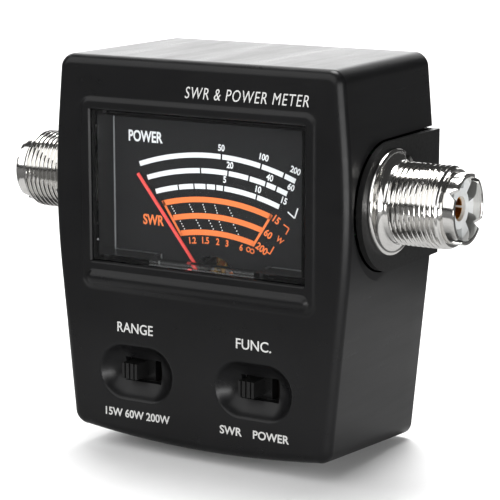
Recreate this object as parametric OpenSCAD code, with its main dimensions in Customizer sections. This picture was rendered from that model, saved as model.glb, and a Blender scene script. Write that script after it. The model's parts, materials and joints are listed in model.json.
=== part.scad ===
// SWR and power meter for amateur radio: a moulded case with a moving-coil meter,
// two slide switches, an in-line coupler and a panel socket on each side.
// The origin is on the ground under the middle of the meter, +Z up, the dial faces -Y.

/* [Case] */
// Depth from the front face to the back rim
case_depth = 38.5; // [38:0.5:40]
// Height of the top face above the ground
case_top = 79.7; // [79:0.1:82]
// Half of the width at the waist, where the case is widest
waist_half_w = 33.35; // [33:0.05:33.6]
// Radius of the curved stretch of each side
waist_r = 157; // [140:1:180]
// How much narrower each side is at the back than at the front
side_draft = 0.9; // [0:0.1:1.2]
// Thickness of the moulded walls
wall = 2.2; // [2:0.1:2.4]
// Radius of the case's corners seen from the front
corner_r = 3; // [2.8:0.1:3.5]
// Rounding between the front face and the sides
edge_r = 2; // [1:0.1:2.4]

/* [Window] */
// Half of the width of the window
window_half_w = 24.15; // [24.1:0.05:24.3]
// How far the half-round bar under the window stands out
bar_out = 1.2; // [0.8:0.1:1.6]
// Width of the raised frame around the window
frame_w = 2.4; // [1.5:0.1:2.6]

/* [Meter] */
// Depth of the dial behind the front face
dial_depth = 7; // [6.8:0.1:7.2]
// Length of the pointer from its pivot to its tip
pointer_len = 27.2; // [24:0.1:28]
// Angle of the resting pointer from vertical
rest_lean = 38; // [30:1:42]
// Radius of the pivots at the ends of the staff
pivot_r = 0.36; // [0.3:0.01:0.38]

/* [Sockets] */
// Distance between the outer ends of the two sockets
overall_w = 100; // [99:0.5:102]
// Outer radius of the 5/8 inch coupling thread
thread_r = 7.9375; // [7.9:0.0125:7.95]
// Bore radius of the spring contact
contact_bore_r = 2; // [1.95:0.01:2.05]
// Outer radius of the flange
flange_r = 10.25; // [9.5:0.05:10.5]

/* [Switches] */
// Travel of each slider from end to end
slider_travel = 4; // [3:0.1:4]
// Depth of the finger scoops
scoop_depth = 3.2; // [3:0.05:3.3]

/* [Hidden] */
$fn = 64;

// Depths ("d") are measured back from the case's front face.
front_y = bar_out / 2 - case_depth / 2;
// Axis shared by both sockets and the through line.
axis_z = 53.3;
axis_d = 16.5;
axis_y = front_y + axis_d;

// Side profile: an arc at the waist with a straight run above and below it.
waist_z = axis_z - 1;
upper_arc = 14.1;
lower_arc = 15.3;
// Underside: arched along the front edge, lower and flatter along the back edge.
front_low = 2.7;
arch_r = 208;
rear_low = 0.4;
rear_arch_r = 1600;

window_low = 38.9;
window_high = 69.15;
bar_r = 1.9;
bar_z = 35.5;
bar_half_w = 25.5;
frame_out = 0.4;

scoop_z = 16.8;
range_x = -14;
func_x = 13;
scoop_half_len = 2.95;
scoop_r = 6.41;
scoop_pad = 4.4;
slot_half_w = 4.2;
slot_half_h = 2.4;

ear_x = 34;
ear_t = 1.2;
ear_r = 12.5;
ear_gap = 0.3;
// The ears' round ends lie this far below the sockets' axis.
ear_drop = 0.9;
plate_d = 36;
plate_t = 1.2;
screw_at = [[24.5, 73.2], [-24.5, 73.2], [23.5, 8.2], [-23.5, 8.2]];
post_r = 2.8;
screw_r = 1.1;

pivot_z = 34.7;
cover_d = 0.3;
cover_back = 9;
cover_t = 1;
base_t = 1.2;
can_r = 9;
can_in_r = 7.9;
can_d = 19;
iron_d = 10.6;
iron_back = 16.6;
pointer_d = dial_depth - 1;
jewel_r = 1.3;
jewel_gap = 0.06;
meter_screw_at = [[16.6, 30.5], [-16.6, 30.5], [0, 72.2]];
meter_screw_r = 1;

board_d = 8.6;
board_t = 1.2;
board_screw_at = [[-24.6, 13.6], [24.6, 13.6], [-0.5, 17]];

trough_half = 6;
trough_x = 29;
trough_t = 0.6;
coupler_board_d = axis_d + trough_half;
coupler_board_back = coupler_board_d + board_t;
trimmer_z = 48.6;
trimmer_step = 8;
trimmer_top = coupler_board_back + 3.5;
rotor_r = 1.8;
rotor_gap = 0.06;

plastic = "#1c1c1c";
chassis_black = "#161616";
nickel = "#c9c9c6";
brass = "#c8a24a";
gold = "#d9a441";
board_green = "#2f6b45";

function mix(a, b, t) = a + (b - a) * t;

// Half-width of the front outline at height z.
function half_width(z) =
    let (t = z - waist_z, u = min(max(t, -lower_arc), upper_arc))
    waist_half_w - u * u / (2 * waist_r) - (t - u) * u / waist_r;

// Height of the underside at x, where f runs from 0 at the front to 1 at the back.
function floor_z(x, f) = mix(front_low + x * x / (2 * arch_r), rear_low + x * x / (2 * rear_arch_r), f);

// Right half of the case's outline, from bottom middle round to the top.
function half_outline(f, inset) =
    let (r = max(corner_r - inset, 0.3),
        low_z = floor_z(half_width(front_low) - corner_r, f) + corner_r,
        low_x = half_width(low_z) - side_draft * f - corner_r,
        top_z = case_top - corner_r,
        top_x = half_width(top_z) - side_draft * f - corner_r)
    concat(
        [for (i = [0:2]) [low_x * i / 3, floor_z(low_x * i / 3, f) + inset]],
        [for (a = [-90:15:0]) [low_x + r * cos(a), low_z + r * sin(a)]],
        [for (z = [waist_z - lower_arc, waist_z - lower_arc / 2, waist_z, waist_z + upper_arc / 2,
            waist_z + upper_arc]) [half_width(z) - side_draft * f - inset, z]],
        [for (a = [0:15:90]) [top_x + r * cos(a), top_z + r * sin(a)]]);

function outline(f, inset) =
    let (right = half_outline(f, inset), n = len(right))
    concat(right, [for (i = [n - 1:-1:1]) [-right[i][0], right[i][1]]]);

// Closed solid through the outline at each [depth, inset] station.
module loft(stations) {
    rings = [for (s = stations)
        [for (p = outline(s[0] / case_depth, s[1])) [p[0], front_y + s[0], p[1]]]];
    n = len(rings[0]);
    last = len(rings) - 1;
    polyhedron(
        points = [for (r = rings) each r],
        faces = concat(
            [[for (i = [n - 1:-1:0]) i]],
            [for (k = [0:last - 1], i = [0:n - 1])
                [k * n + i, k * n + (i + 1) % n, (k + 1) * n + (i + 1) % n]],
            [for (k = [0:last - 1], i = [0:n - 1])
                [k * n + i, (k + 1) * n + (i + 1) % n, (k + 1) * n + i]],
            [[for (i = [0:n - 1]) last * n + i]]));
}

module case_skin() {
    loft(concat([for (a = [15:15:90]) [edge_r * (cos(15) - cos(a)), edge_r * (1 - sin(a))]],
        [[case_depth, 0]]));
}

module case_cavity() {
    loft([[wall, wall], [case_depth + 1, wall]]);
}

// Flat work seen from the front: children are drawn in X and Z, from depth d0 to d1.
module slab(d0, d1) {
    translate([0, front_y + d1, 0]) rotate([90, 0, 0]) linear_extrude(d1 - d0) children();
}

module rect(x0, x1, z0, z1) {
    translate([x0, z0]) square([x1 - x0, z1 - z0]);
}

module disc(x, z, r) {
    translate([x, z]) circle(r);
}

module rod(x, z, r, d0, d1) {
    slab(d0, d1) disc(x, z, r);
}

// Rectangle with round corners.
module soft_rect(x0, x1, z0, z1, r) {
    rect(x0 + r, x1 - r, z0, z1);
    rect(x0, x1, z0 + r, z1 - r);
    for (x = [x0 + r, x1 - r], z = [z0 + r, z1 - r]) disc(x, z, r);
}

// Turned work on the socket axis: profile points are [radius, x].
module turned(profile) {
    translate([0, axis_y, axis_z]) rotate([0, 90, 0]) rotate_extrude() polygon(profile);
}

module axial(r, x0, x1) {
    translate([x0, axis_y, axis_z]) rotate([0, 90, 0]) cylinder(r = r, h = x1 - x0);
}

module on_side(side) {
    mirror([side < 0 ? 1 : 0, 0, 0]) children();
}

// Tongue with a round front end below the socket axis, running back to depth d_end.
module tongue(r, x0, x1, d_end) {
    translate([0, 0, -ear_drop]) {
        axial(r, x0, x1);
        translate([x0, axis_y, axis_z - r]) cube([x1 - x0, front_y + d_end - axis_y, 2 * r]);
    }
}

// Insulated wire along straight runs, points as [x, d, z].
module wire(points, r) {
    for (i = [0:len(points) - 2]) {
        a = points[i];
        v = points[i + 1] - a;
        length = norm(v);
        translate([a[0], front_y + a[1], a[2]])
            rotate([0, acos(v[2] / length), atan2(v[1], v[0])]) cylinder(r = r, h = length, $fn = 24);
    }
    if (len(points) > 2)
        for (i = [1:len(points) - 2])
            translate([points[i][0], front_y + points[i][1], points[i][2]]) sphere(1.1 * r, $fn = 24);
}

// ---- Case ----

module finger_scoop(x) {
    for (s = [-1, 1])
        translate([x + s * scoop_half_len, front_y - scoop_r + scoop_depth, scoop_z]) sphere(scoop_r);
    translate([x - scoop_half_len, front_y - scoop_r + scoop_depth, scoop_z]) rotate([0, 90, 0])
        cylinder(r = scoop_r, h = 2 * scoop_half_len);
    slab(0, scoop_pad + 1)
        rect(x - slot_half_w, x + slot_half_w, scoop_z - slot_half_h, scoop_z + slot_half_h);
}

module window_bar() {
    half_len = bar_half_w - bar_r;
    for (s = [-1, 1]) translate([s * half_len, front_y - bar_out + bar_r, bar_z]) sphere(bar_r);
    translate([-half_len, front_y - bar_out + bar_r, bar_z]) rotate([0, 90, 0])
        cylinder(r = bar_r, h = 2 * half_len);
}

module window_frame() {
    slab(-frame_out, 1) soft_rect(-window_half_w - frame_w, window_half_w + frame_w,
        bar_z, window_high + frame_w, 2);
}

module case_bosses() {
    for (x = [range_x, func_x])
        slab(wall - 0.5, scoop_pad) soft_rect(x - 9.6, x + 9.6, scoop_z - 6.6, scoop_z + 6.6, 1);
    for (p = screw_at) {
        rod(p[0], p[1], post_r, wall - 0.5, plate_d);
        web_x = half_width(p[1]) - wall / 2 - side_draft;
        slab(wall - 0.5, plate_d - 1)
            rect(min(p[0], sign(p[0]) * web_x), max(p[0], sign(p[0]) * web_x), p[1] - 0.6, p[1] + 0.6);
    }
    for (p = meter_screw_at) rod(p[0], p[1], 2.2, wall - 0.5, cover_back);
    for (p = board_screw_at) rod(p[0], p[1], 2, wall - 0.5, board_d);
}

module foot(x, d, z) {
    translate([x, front_y + d, 0]) cylinder(r = 3.5, h = z);
}

module feet() {
    for (s = [-1, 1]) {
        foot(s * 11, 16, 2.8);
        foot(s * 18, 33, 1.8);
    }
}

module front_housing() {
    color(plastic) difference() {
        union() {
            difference() {
                union() {
                    case_skin();
                    window_frame();
                    window_bar();
                }
                case_cavity();
            }
            case_bosses();
        }
        slab(-2, wall + 1) rect(-window_half_w, window_half_w, window_low, window_high);
        finger_scoop(range_x);
        finger_scoop(func_x);
        for (s = [-1, 1]) on_side(s) {
            tongue(ear_r + ear_gap, waist_half_w - wall - 2, waist_half_w + 1, case_depth + 1);
            translate([0, 0, -ear_drop]) intersection() {
                axial(ear_r + 1.9, waist_half_w - 0.9, waist_half_w + 1);
                translate([0, front_y, 0]) cube([60, axis_d, 100]);
            }
        }
        for (p = screw_at) rod(p[0], p[1], screw_r, plate_d - 9, plate_d + 1);
        for (p = meter_screw_at) rod(p[0], p[1], meter_screw_r, 4, cover_back + 1);
        for (p = board_screw_at) rod(p[0], p[1], screw_r, 3.5, board_d + 1);
        feet();
    }
}

module rear_chassis() {
    color(chassis_black) difference() {
        union() {
            slab(plate_d, plate_d + plate_t) polygon(outline(plate_d / case_depth, wall + 0.25));
            slab(plate_d, plate_d + plate_t) rect(-ear_x, ear_x,
                axis_z - ear_drop - ear_r, axis_z - ear_drop + ear_r);
            for (s = [-1, 1]) on_side(s) tongue(ear_r, ear_x - ear_t, ear_x, plate_d + plate_t);
        }
        axial(thread_r + 0.1, -ear_x - 1, ear_x + 1);
        for (p = screw_at) rod(p[0], p[1], screw_r + 0.25, plate_d - 1, plate_d + 3);
    }
}

// Pan-head screw whose head sits on depth d0 and whose shank runs forward to d_tip.
module screw(p, d0, d_tip, shank_r, head_r, head_t) {
    difference() {
        union() {
            rod(p[0], p[1], head_r, d0, d0 + head_t);
            rod(p[0], p[1], shank_r, d_tip, d0);
        }
        slab(d0 + head_t * 0.4, d0 + head_t + 1) {
            rect(p[0] - 0.3, p[0] + 0.3, p[1] - head_r * 0.6, p[1] + head_r * 0.6);
            rect(p[0] - head_r * 0.6, p[0] + head_r * 0.6, p[1] - 0.3, p[1] + 0.3);
        }
    }
}

module rear_screws() {
    color(nickel) for (p = screw_at)
        screw(p, plate_d + plate_t, plate_d - 8, screw_r, 2.3, 1.2);
}

module rubber_feet() {
    color("#101010") feet();
}

// ---- Meter ----

module meter_cover() {
    color([0.9, 0.9, 0.92, 0.3]) difference() {
        union() {
            slab(cover_d, cover_back) rect(-24, 24, 39.1, 69);
            slab(wall + 0.2, wall + 1.2) rect(-25.8, 25.8, 38, 69.9);
            slab(wall + 0.2, cover_back) rect(-13, 13, 27, 40);
        }
        slab(cover_d + cover_t, cover_back + 1) rect(-23, 23, 39.1 + cover_t, 69 - cover_t);
        slab(wall + 1.2, cover_back + 1) rect(-12, 12, 28, 41);
    }
}

module meter_base() {
    can_z = pivot_z;
    color(plastic) difference() {
        union() {
            slab(cover_back, cover_back + base_t) {
                rect(-24, 24, 39.1, 69);
                rect(-13, 13, 27, 40);
                rect(-19, 19, 28.3, 32.7);
                rect(-3.2, 3.2, 68, 75);
            }
            rod(0, can_z, can_r, cover_back, can_d + base_t);
            for (x = [-18, 18], z = [44, 62]) rod(x, z, 1.2, dial_depth + 0.5, cover_back);
        }
        rod(0, can_z, can_in_r, cover_back - 1, can_d);
        rod(0, can_z, jewel_r, can_d - 1, can_d + 3);
        for (p = meter_screw_at) rod(p[0], p[1], meter_screw_r, cover_back - 1, cover_back + 3);
    }
}

module dial_plate() {
    color("#333333") slab(dial_depth, dial_depth + 0.5) difference() {
        union() {
            rect(-22.8, 22.8, 40.3, 67.8);
            rect(-11.8, 11.8, 37, 41);
        }
        disc(0, pivot_z, 6.2);
    }
}

module meter_yoke() {
    color("#8b8b88") slab(iron_d, iron_back) difference() {
        disc(0, pivot_z, 7.8);
        disc(0, pivot_z, 5.6);
    }
}

module magnet_core() {
    color("#6d6f72") rod(0, pivot_z, 3.5, iron_d, iron_back);
}

module core_holder() {
    color(brass) slab(iron_d - 0.3, iron_d) for (s = [-1, 1])
        rect(-1.2, 1.2, pivot_z + min(2 * s, 7.4 * s), pivot_z + max(2 * s, 7.4 * s));
}

module front_bridge() {
    color(nickel) difference() {
        union() {
            slab(4, 4.8) rect(-8.2, 8.2, pivot_z - 1.4, pivot_z + 1.4);
            for (s = [-1, 1]) rod(s * 6.7, pivot_z, 0.9, 4.8, iron_d);
        }
        rod(0, pivot_z, jewel_r, 3, 6);
    }
}

module pivot_jewels() {
    color("#b03a4a") {
        difference() {
            rod(0, pivot_z, jewel_r, 3.6, 4.9);
            rod(0, pivot_z, pivot_r + jewel_gap, 4.1, 6);
        }
        difference() {
            rod(0, pivot_z, jewel_r, 18.1, can_d + 1.7);
            rod(0, pivot_z, pivot_r + jewel_gap, 17, 18.8);
        }
    }
}

// Flat spiral spring that ends at the bottom of its outer turn.
module spiral(r0, r1, turns, width) {
    steps = turns * 20;
    function at(i, w) = let (a = -90 + 360 * turns * (i / steps - 1), r = mix(r0, r1, i / steps) + w)
        [r * cos(a), r * sin(a)];
    polygon(concat([for (i = [0:steps]) at(i, width / 2)], [for (i = [steps:-1:0]) at(i, -width / 2)]));
}

module hairsprings() {
    color("#b88a4c") {
        slab(8, 8.25) translate([0, pivot_z]) spiral(1, 3.6, 3.5, 0.14);
        rod(0, pivot_z - 3.6, 0.3, 8, iron_d - 0.3);
        slab(17.75, 17.95) translate([0, pivot_z]) spiral(1, 3.6, 3.5, 0.14);
        rod(0, pivot_z - 3.6, 0.3, 17.75, can_d);
    }
}

module meter_terminals() {
    color(brass) for (s = [-1, 1]) {
        rod(s * 5, 33, 1.2, can_d + base_t, 22);
        rod(s * 5, 33, 0.7, 22, 23.4);
    }
}

module meter_screws() {
    color(nickel) for (p = meter_screw_at)
        screw(p, cover_back + base_t, 5, meter_screw_r, 1.9, 1.2);
}

// Turns flat work about the pivot to the pointer's rest position.
module leaning() {
    translate([0, 0, pivot_z]) rotate([0, -rest_lean, 0]) children();
}

module pointer() {
    color("#f0564f") leaning() difference() {
        union() {
            slab(pointer_d - 0.15, pointer_d + 0.15) {
                disc(0, 0, 1.2);
                rect(-0.3, 0.3, 0, pointer_len);
                rect(-0.4, 0.4, -5, 0);
            }
            slab(pointer_d - 0.35, pointer_d + 0.35) rect(-1.1, 1.1, -6.2, -4.6);
        }
        rod(0, 0, 0.5, pointer_d - 1, pointer_d + 1);
    }
}

module pointer_staff() {
    color("#9a9a9a") {
        rod(0, pivot_z, pivot_r, 4.2, 5);
        rod(0, pivot_z, 0.5, 5, 9.6);
        rod(0, pivot_z, 0.5, 17.6, 18);
        rod(0, pivot_z, pivot_r, 18, 18.7);
    }
}

module moving_coil() {
    color("#b0622f") leaning() difference() {
        slab(9.6, 17.6) rect(-5, 5, -0.6, 0.6);
        slab(10.2, 17) rect(-3.95, 3.95, -1, 1);
    }
}

// ---- Sockets ----

module connector_shell(side) {
    half = overall_w / 2;
    color(nickel) on_side(side) difference() {
        turned([[3.9, 29], [thread_r, 29], [thread_r, ear_x], [flange_r, ear_x],
            [flange_r, ear_x + 0.9], [9.2, ear_x + 1.1], [8.4, ear_x + 1.6], [thread_r, ear_x + 2.3],
            [thread_r, half - 3.2], [7, half - 2.9], [7, half - 2.2], [6.85, half - 2],
            [6.85, half - 0.3], [6.55, half], [6, half], [6, 33], [3.9, 33]]);
        for (a = [57:90:360]) translate([half, axis_y, axis_z]) rotate([a, 0, 0])
            translate([0, 5, 0]) rotate([0, 45, 0]) cube([2.2, 4, 2.2], center = true);
        translate([ear_x, axis_y, axis_z]) rotate([60, 0, 0])
            translate([-0.1, flange_r - 1.6, -0.9]) cube([2, 3, 1.8]);
    }
}

module connector_insulator(side) {
    face = overall_w / 2 - 1.8;
    color("#d6d8d8") on_side(side) difference() {
        turned([[1.5, 29], [3.9, 29], [3.9, 33], [6, 33], [6, face], [2.4, face], [2.4, 31], [1.5, 31]]);
        for (a = [0:60:300]) translate([face, axis_y, axis_z]) rotate([a + 12, 0, 0])
            rotate([0, -90, 0]) translate([0, 0, -1]) rotate_extrude(angle = 31)
                translate([3.9, 0]) square([2.4, 6]);
    }
}

module center_contact(side) {
    tip = overall_w / 2 - 2.4;
    color(gold) on_side(side) difference() {
        turned([[0, 27], [1.5, 27], [1.5, 31], [2.4, 31], [2.4, tip - 0.3], [2.2, tip],
            [contact_bore_r, tip], [contact_bore_r, tip - 14], [0, tip - 15]]);
        translate([tip - 6, axis_y - 3, axis_z - 0.2]) cube([8, 6, 0.4]);
    }
}

module lock_washer(side) {
    color("#a9a9a6") on_side(side) difference() {
        axial(10.4, ear_x - ear_t - 0.6, ear_x - ear_t);
        axial(thread_r, 30, 34);
        for (a = [0:45:315]) translate([32, axis_y, axis_z]) rotate([a, 0, 0])
            translate([-1, 9.6, -0.4]) cube([3, 2, 0.8]);
    }
}

module connector_nut(side) {
    color(nickel) on_side(side) difference() {
        translate([30, axis_y, axis_z]) rotate([0, 90, 0]) rotate([0, 0, 30])
            cylinder(r = 10.4, h = 2.2, $fn = 6);
        axial(thread_r, 29, 34);
    }
}

// ---- Coupler ----

module coupler_trough() {
    z0 = axis_z - trough_half;
    color("#b9b8b0") difference() {
        translate([-trough_x, front_y + axis_d - trough_half, z0])
            cube([2 * trough_x, 2 * trough_half, 2 * trough_half]);
        translate([trough_t - trough_x, front_y + axis_d - trough_half + trough_t, z0 + trough_t])
            cube([2 * (trough_x - trough_t), 2 * trough_half, 2 * (trough_half - trough_t)]);
        axial(2.6, -trough_x - 1, trough_x + 1);
    }
}

module through_line() {
    color(brass) axial(1.2, -27, 27);
}

module coupler_board() {
    color(board_green) slab(coupler_board_d, coupler_board_back) rect(-28.4, 28.4, 44.6, 62);
}

module pickup_lines() {
    color("#c98a5a") for (s = [-1, 1]) {
        z = axis_z + 3.4 * s;
        wire([[-20, coupler_board_d, z], [-20, 19.8, z], [20, 19.8, z], [20, coupler_board_d, z]], 0.4);
    }
}

// Axial part lying along X on the coupler board, with its two leads.
module axial_part(x, z, r, length) {
    d = coupler_board_back + r + 0.2;
    half_lead = length / 2 + 1.6;
    translate([x - length / 2, front_y + d, z]) rotate([0, 90, 0]) cylinder(r = r, h = length, $fn = 32);
    wire([[x - half_lead, coupler_board_back, z], [x - half_lead, d, z],
        [x + half_lead, d, z], [x + half_lead, coupler_board_back, z]], 0.25);
}

module detector_diodes() {
    color("#c46a3c") for (s = [-1, 1]) axial_part(s * 23, 59, 0.9, 3.6);
}

module load_resistors() {
    color("#d3b88a") for (s = [-1, 1]) axial_part(s * 11, 59, 1.2, 6.2);
}

module bypass_capacitors() {
    color("#c77a3a") for (s = [-1, 1]) {
        rod(s * 20, 50.5, 2.2, coupler_board_back + 1.2, coupler_board_back + 3);
        for (t = [-1, 1]) rod(s * 20 + t * 1.2, 50.5, 0.25, coupler_board_back, coupler_board_back + 1.2);
    }
}

module trimmer_bodies() {
    color("#2f5fa8") for (i = [-1:1]) difference() {
        slab(coupler_board_back, trimmer_top)
            rect(i * trimmer_step - 3, i * trimmer_step + 3, trimmer_z - 3, trimmer_z + 3);
        rod(i * trimmer_step, trimmer_z, rotor_r + rotor_gap, coupler_board_back + 1, trimmer_top + 1);
    }
}

module trimmer_rotor(i) {
    color("#e8e4d8") difference() {
        rod(i * trimmer_step, trimmer_z, rotor_r, coupler_board_back + 1.1, trimmer_top + 0.2);
        slab(trimmer_top - 0.6, trimmer_top + 1)
            rect(i * trimmer_step - 0.3, i * trimmer_step + 0.3, trimmer_z - 1.3, trimmer_z + 1.3);
    }
}

// ---- Switches ----

function pin_places(x) = [for (i = [-1:1], s = [-1, 1]) [x + 4 * i, scoop_z + 1.7 * s]];

module switch_board() {
    color(board_green) difference() {
        slab(board_d, board_d + board_t) rect(-27, 27, 11.4, 24.6);
        for (p = board_screw_at) rod(p[0], p[1], screw_r, board_d - 1, board_d + 3);
        for (x = [range_x, func_x], p = pin_places(x)) rod(p[0], p[1], 0.4, board_d - 1, board_d + 3);
    }
}

module board_screws() {
    color(nickel) for (p = board_screw_at) screw(p, board_d + board_t, 4.5, screw_r, 2, 1.2);
}

module switch_shell(x) {
    color("#b4b4b0") difference() {
        slab(scoop_pad, board_d) rect(x - 6.2, x + 6.2, scoop_z - 3.2, scoop_z + 3.2);
        slab(scoop_pad + 0.4, board_d + 1) rect(x - 5.8, x + 5.8, scoop_z - 2.8, scoop_z + 2.8);
        slab(scoop_pad - 1, board_d)
            rect(x - slot_half_w, x + slot_half_w, scoop_z - slot_half_h, scoop_z + slot_half_h);
    }
}

module switch_base(x) {
    color("#6b4a2c") difference() {
        slab(board_d - 1.2, board_d) rect(x - 5.7, x + 5.7, scoop_z - 2.7, scoop_z + 2.7);
        for (p = pin_places(x)) rod(p[0], p[1], 0.4, board_d - 2, board_d + 1);
    }
}

module switch_pins(x) {
    color("#c8c4b0") for (p = pin_places(x)) rod(p[0], p[1], 0.4, board_d - 1.2, board_d + 2.4);
}

module slider(x) {
    rest_x = x - slider_travel / 2;
    knob_half_w = 1.75;
    color("#141414") difference() {
        union() {
            slab(scoop_pad + 0.6, 6.9) rect(rest_x - 3.4, rest_x + 3.4, scoop_z - 2.5, scoop_z + 2.5);
            slab(0.7, scoop_pad + 1)
                rect(rest_x - knob_half_w, rest_x + knob_half_w, scoop_z - 1.6, scoop_z + 1.6);
        }
        for (i = [-1:1]) slab(0, 1.05)
            rect(rest_x + i * 1.05 - 0.18, rest_x + i * 1.05 + 0.18, scoop_z - 2, scoop_z + 2);
    }
}

module contact_clip(x) {
    rest_x = x - slider_travel / 2;
    color(brass) slab(6.9, 7.15) for (s = [-1, 1])
        rect(rest_x - 2.6, rest_x + 2.6, scoop_z + 1.5 * s - 0.5, scoop_z + 1.5 * s + 0.5);
}

// ---- Wires ----

module meter_wires() {
    color("#a03030") for (s = [-1, 1])
        wire([[5 * s, 23.4, 33], [5 * s, 25, 33], [5 * s, 26, 29], [3 * s, 20, 21.5], [3 * s, 12.2, 20],
            [3 * s, board_d + board_t, 20]], 0.5);
}

module coupler_wires() {
    color("#30508a") for (s = [-1, 1])
        wire([[13 * s, coupler_board_back, 46], [13 * s, 26, 46], [13 * s, 27.5, 42], [13 * s, 26, 30],
            [9 * s, 16, 22], [9 * s, 12.2, 21], [9 * s, board_d + board_t, 21]], 0.5);
}

front_housing();
rear_chassis();
rear_screws();
rubber_feet();
meter_cover();
meter_base();
dial_plate();
meter_yoke();
magnet_core();
core_holder();
front_bridge();
pivot_jewels();
hairsprings();
meter_terminals();
meter_screws();
pointer();
pointer_staff();
moving_coil();
connector_shell(-1);  // connector_shell_left
connector_shell(1);  // connector_shell_right
connector_insulator(-1);  // connector_insulator_left
connector_insulator(1);  // connector_insulator_right
center_contact(-1);  // center_contact_left
center_contact(1);  // center_contact_right
lock_washer(-1);  // lock_washer_left
lock_washer(1);  // lock_washer_right
connector_nut(-1);  // connector_nut_left
connector_nut(1);  // connector_nut_right
coupler_trough();
through_line();
coupler_board();
pickup_lines();
detector_diodes();
load_resistors();
bypass_capacitors();
trimmer_bodies();
trimmer_rotor(-1);  // trimmer_rotor_low
trimmer_rotor(0);  // trimmer_rotor_mid
trimmer_rotor(1);  // trimmer_rotor_high
switch_board();
board_screws();
switch_shell(range_x);  // range_switch_shell
switch_base(range_x);  // range_switch_base
switch_pins(range_x);  // range_switch_pins
slider(range_x);  // range_slider
contact_clip(range_x);  // range_contact_clip
switch_shell(func_x);  // func_switch_shell
switch_base(func_x);  // func_switch_base
switch_pins(func_x);  // func_switch_pins
slider(func_x);  // func_slider
contact_clip(func_x);  // func_contact_clip
meter_wires();
coupler_wires();
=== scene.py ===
"""Looks for the SWR and power meter: case moulding, threaded sockets, printing, materials and light.

Lengths are in millimetres (+X right, +Y back, +Z up) unless a comment says metres; MM turns them
into metres.
"""
import json
import math
import bmesh
import bpy
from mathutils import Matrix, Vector


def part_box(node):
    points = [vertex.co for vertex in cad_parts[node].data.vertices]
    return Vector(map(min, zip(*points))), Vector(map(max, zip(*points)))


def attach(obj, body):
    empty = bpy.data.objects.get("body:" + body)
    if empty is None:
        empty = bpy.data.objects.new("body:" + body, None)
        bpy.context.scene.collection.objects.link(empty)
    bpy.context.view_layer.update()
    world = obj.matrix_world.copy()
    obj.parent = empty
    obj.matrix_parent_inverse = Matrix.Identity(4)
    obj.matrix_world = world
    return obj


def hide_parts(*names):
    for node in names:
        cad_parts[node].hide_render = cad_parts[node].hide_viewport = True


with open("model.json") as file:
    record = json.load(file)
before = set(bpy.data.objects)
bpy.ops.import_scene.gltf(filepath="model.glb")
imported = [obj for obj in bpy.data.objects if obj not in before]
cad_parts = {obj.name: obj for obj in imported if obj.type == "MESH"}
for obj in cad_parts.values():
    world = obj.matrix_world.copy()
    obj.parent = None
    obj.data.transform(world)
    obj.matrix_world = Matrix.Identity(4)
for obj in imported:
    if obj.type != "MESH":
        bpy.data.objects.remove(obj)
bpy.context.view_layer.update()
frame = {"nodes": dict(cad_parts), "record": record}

MM = 0.001
SCENE = bpy.context.scene


def node_box(node):
    """Lowest and highest corner of a CAD node, in millimetres."""
    low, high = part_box(node)
    return [v / MM for v in low], [v / MM for v in high]


# ---- Sizes taken from the frame ----

CASE_DEPTH = 38.5
BACK = node_box("front_housing")[1][1]
FRONT = BACK - CASE_DEPTH
CASE_TOP = node_box("front_housing")[1][2]
LINE_LOW, LINE_HIGH = node_box("through_line")
AXIS_Y = (LINE_LOW[1] + LINE_HIGH[1]) / 2
AXIS_Z = (LINE_LOW[2] + LINE_HIGH[2]) / 2
SOCKET_END = node_box("connector_shell_right")[1][0]
EAR_X = node_box("rear_chassis")[1][0]
DIAL_FRONT = node_box("dial_plate")[0][1]


# ---- Camera ----

CAMERA_AZIMUTH, CAMERA_ELEVATION = 30.56, 11.47
CAMERA_DISTANCE = 384.67
CAMERA_AIM = (12.34, FRONT, AXIS_Z - 8.71)
CAMERA_LENS, CAMERA_SENSOR = 145.98, 36


def make_camera():
    """Long lens, a little above the case and to its right."""
    azimuth, elevation = math.radians(CAMERA_AZIMUTH), math.radians(CAMERA_ELEVATION)
    back = Vector((math.sin(azimuth) * math.cos(elevation), -math.cos(azimuth) * math.cos(elevation),
                   math.sin(elevation)))
    data = bpy.data.cameras.new("camera")
    data.sensor_width = CAMERA_SENSOR
    data.lens = CAMERA_LENS
    data.clip_start = 0.01
    data.clip_end = 100
    camera = bpy.data.objects.new("camera", data)
    camera.location = (Vector(CAMERA_AIM) + back * CAMERA_DISTANCE) * MM
    camera.rotation_euler = back.to_track_quat("Z", "Y").to_euler()
    SCENE.collection.objects.link(camera)
    SCENE.camera = camera


make_camera()


# ---- Materials ----

def new_material(name):
    mat = bpy.data.materials.new(name)
    mat.use_nodes = True
    return mat, mat.node_tree, mat.node_tree.nodes["Principled BSDF"]


def add(tree, kind, **settings):
    """New node, with its sockets and properties set by name."""
    node = tree.nodes.new(kind)
    for key, value in settings.items():
        if key in node.inputs:
            node.inputs[key].default_value = value
        else:
            setattr(node, key, value)
    return node


def noise(tree, scale, stretch=(1, 1, 1), detail=3.0, rough=0.55):
    """Noise in the object's own metres, so its size is the same on every piece."""
    coords = add(tree, "ShaderNodeTexCoord")
    mapping = add(tree, "ShaderNodeMapping", Scale=stretch)
    tex = add(tree, "ShaderNodeTexNoise", Scale=scale, Detail=detail, Roughness=rough)
    tree.links.new(coords.outputs["Object"], mapping.inputs["Vector"])
    tree.links.new(mapping.outputs["Vector"], tex.inputs["Vector"])
    return tex.outputs["Fac"]


def spread(tree, value, low, high, start=0.3, end=0.7):
    """Maps a noise value to the range low..high."""
    node = add(tree, "ShaderNodeMapRange")
    node.inputs["From Min"].default_value = start
    node.inputs["From Max"].default_value = end
    node.inputs["To Min"].default_value = low
    node.inputs["To Max"].default_value = high
    tree.links.new(value, node.inputs["Value"])
    return node.outputs["Result"]


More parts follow.
